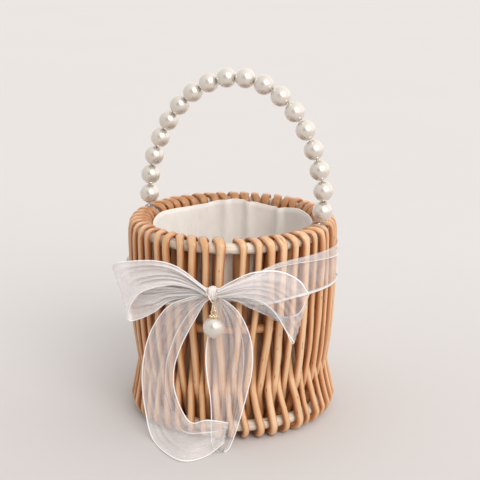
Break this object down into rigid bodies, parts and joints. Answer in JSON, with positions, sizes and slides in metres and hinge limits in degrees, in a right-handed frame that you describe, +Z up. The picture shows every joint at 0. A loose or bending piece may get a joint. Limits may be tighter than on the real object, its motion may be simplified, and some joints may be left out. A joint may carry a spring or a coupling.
{
  "type": "flower girl basket",
  "caption": "Round woven willow basket with a cloth lining, an arched handle of strung pearls, and a sheer ribbon bow with a hanging pearl.",
  "frame": {"origin": "centre of the wooden base board's underside, on the surface the basket stands on", "axes": "+Z up; the handle's two feet are on +X and -X; the bow is on the side that faces -Y, 14 degrees round towards +X"},
  "size_m": [0.1531, 0.1796, 0.2455],
  "materials": {
    "peeled_rod": "peeled, matt",
    "brown_rod": "varnished",
    "willow": "boiled willow, satin",
    "board": "bare",
    "cotton": "woven cotton",
    "wire": "bright",
    "pearl": "pearl lacquer",
    "organza": "sheer, with a thick woven edge",
    "gold": "bright"
  },
  "bodies": {
    "basket": {"top_hoop": "peeled_rod", "middle_hoop": "brown_rod", "bottom_hoop": "peeled_rod", "base_board": "board", "stake_pair_01": "willow", "stake_pair_02": "willow", "stake_pair_03": "willow", "stake_pair_04": "willow", "stake_pair_05": "willow", "stake_pair_06": "willow", "stake_pair_07": "willow", "stake_pair_08": "willow", "stake_pair_09": "willow", "stake_pair_10": "willow", "stake_pair_11": "willow", "stake_pair_12": "willow", "stake_pair_13": "willow", "stake_pair_14": "willow", "stake_pair_15": "willow", "stake_pair_16": "willow", "stake_pair_17": "willow", "stake_pair_18": "willow", "stake_pair_19": "willow", "stake_pair_20": "willow", "stake_pair_21": "willow", "stake_pair_22": "willow", "stake_pair_23": "willow", "liner": "cotton", "handle_ring_left": "wire", "handle_ring_right": "wire", "ribbon_band": "organza", "bow_loop_left": "organza", "bow_loop_right": "organza", "bow_knot": "organza", "ribbon_tail_left": "organza", "ribbon_tail_right": "organza", "pendant_hook": "gold"},
    "handle": {"handle_wire": "wire"},
    "pearl_01": {"pearl_01": "pearl"},
    "pearl_02": {"pearl_02": "pearl"},
    "pearl_03": {"pearl_03": "pearl"},
    "pearl_04": {"pearl_04": "pearl"},
    "pearl_05": {"pearl_05": "pearl"},
    "pearl_06": {"pearl_06": "pearl"},
    "pearl_07": {"pearl_07": "pearl"},
    "pearl_08": {"pearl_08": "pearl"},
    "pearl_09": {"pearl_09": "pearl"},
    "pearl_10": {"pearl_10": "pearl"},
    "pearl_11": {"pearl_11": "pearl"},
    "pearl_12": {"pearl_12": "pearl"},
    "pearl_13": {"pearl_13": "pearl"},
    "pearl_14": {"pearl_14": "pearl"},
    "pearl_15": {"pearl_15": "pearl"},
    "pearl_16": {"pearl_16": "pearl"},
    "pearl_17": {"pearl_17": "pearl"},
    "pearl_18": {"pearl_18": "pearl"},
    "jump_ring": {"pendant_ring": "gold"},
    "drop": {"pendant_cap": "gold", "pendant_pin": "gold", "pendant_pearl": "pearl"}
  },
  "joints": [
    {"name": "handle_swing", "type": "hinge", "parent": "basket", "child": "handle", "pos_m": [0, 0, 0.1411], "axis": [1, 0, 0], "range_deg": [-15, 15]},
    {"name": "pendant_ring_swing", "type": "hinge", "parent": "basket", "child": "jump_ring", "pos_m": [0.02393, -0.08442, 0.104], "axis": [-0.9703, -0.2419, 0], "range_deg": [0, 80]},
    {"name": "pendant_drop_swing", "type": "hinge", "parent": "jump_ring", "child": "drop", "pos_m": [0.02393, -0.08442, 0.0993], "axis": [0.2419, -0.9703, 0], "range_deg": [-35, 35]},
    {"name": "spin_pearl_01", "type": "hinge", "parent": "handle", "child": "pearl_01", "pos_m": [-0.06529, 0, 0.15042], "axis": [0.0136, 0, 0.9999], "continuous": true},
    {"name": "spin_pearl_02", "type": "hinge", "parent": "handle", "child": "pearl_02", "pos_m": [-0.06397, 0, 0.16475], "axis": [0.1697, 0, 0.9855], "continuous": true},
    {"name": "spin_pearl_03", "type": "hinge", "parent": "handle", "child": "pearl_03", "pos_m": [-0.06066, 0, 0.17874], "axis": [0.2895, 0, 0.9572], "continuous": true},
    {"name": "spin_pearl_04", "type": "hinge", "parent": "handle", "child": "pearl_04", "pos_m": [-0.05562, 0, 0.19221], "axis": [0.4103, 0, 0.9119], "continuous": true},
    {"name": "spin_pearl_05", "type": "hinge", "parent": "handle", "child": "pearl_05", "pos_m": [-0.04881, 0, 0.20486], "axis": [0.535, 0, 0.8448], "continuous": true},
    {"name": "spin_pearl_06", "type": "hinge", "parent": "handle", "child": "pearl_06", "pos_m": [-0.0402, 0, 0.2163], "axis": [0.6639, 0, 0.7478], "continuous": true},
    {"name": "spin_pearl_07", "type": "hinge", "parent": "handle", "child": "pearl_07", "pos_m": [-0.02974, 0, 0.22606], "axis": [0.7921, 0, 0.6104], "continuous": true},
    {"name": "spin_pearl_08", "type": "hinge", "parent": "handle", "child": "pearl_08", "pos_m": [-0.01756, 0, 0.23343], "axis": [0.908, 0, 0.4189], "continuous": true},
    {"name": "spin_pearl_09", "type": "hinge", "parent": "handle", "child": "pearl_09", "pos_m": [-0.00405, 0, 0.23764], "axis": [0.9855, 0, 0.1696], "continuous": true},
    {"name": "spin_pearl_10", "type": "hinge", "parent": "handle", "child": "pearl_10", "pos_m": [0.01006, 0, 0.23802], "axis": [0.9932, 0, -0.1167], "continuous": true},
    {"name": "spin_pearl_11", "type": "hinge", "parent": "handle", "child": "pearl_11", "pos_m": [0.02371, 0, 0.23438], "axis": [0.9197, 0, -0.3926], "continuous": true},
    {"name": "spin_pearl_12", "type": "hinge", "parent": "handle", "child": "pearl_12", "pos_m": [0.03593, 0, 0.22718], "axis": [0.7887, 0, -0.6148], "continuous": true},
    {"name": "spin_pearl_13", "type": "hinge", "parent": "handle", "child": "pearl_13", "pos_m": [0.04613, 0, 0.21725], "axis": [0.6364, 0, -0.7713], "continuous": true},
    {"name": "spin_pearl_14", "type": "hinge", "parent": "handle", "child": "pearl_14", "pos_m": [0.05422, 0, 0.20542], "axis": [0.489, 0, -0.8723], "continuous": true},
    {"name": "spin_pearl_15", "type": "hinge", "parent": "handle", "child": "pearl_15", "pos_m": [0.06033, 0, 0.19241], "axis": [0.3588, 0, -0.9334], "continuous": true},
    {"name": "spin_pearl_16", "type": "hinge", "parent": "handle", "child": "pearl_16", "pos_m": [0.06473, 0, 0.1787], "axis": [0.2504, 0, -0.9681], "continuous": true},
    {"name": "spin_pearl_17", "type": "hinge", "parent": "handle", "child": "pearl_17", "pos_m": [0.06777, 0, 0.16461], "axis": [0.1713, 0, -0.9852], "continuous": true},
    {"name": "spin_pearl_18", "type": "hinge", "parent": "handle", "child": "pearl_18", "pos_m": [0.06731, 0, 0.15048], "axis": [-0.2343, 0, -0.9722], "continuous": true}
  ]
}
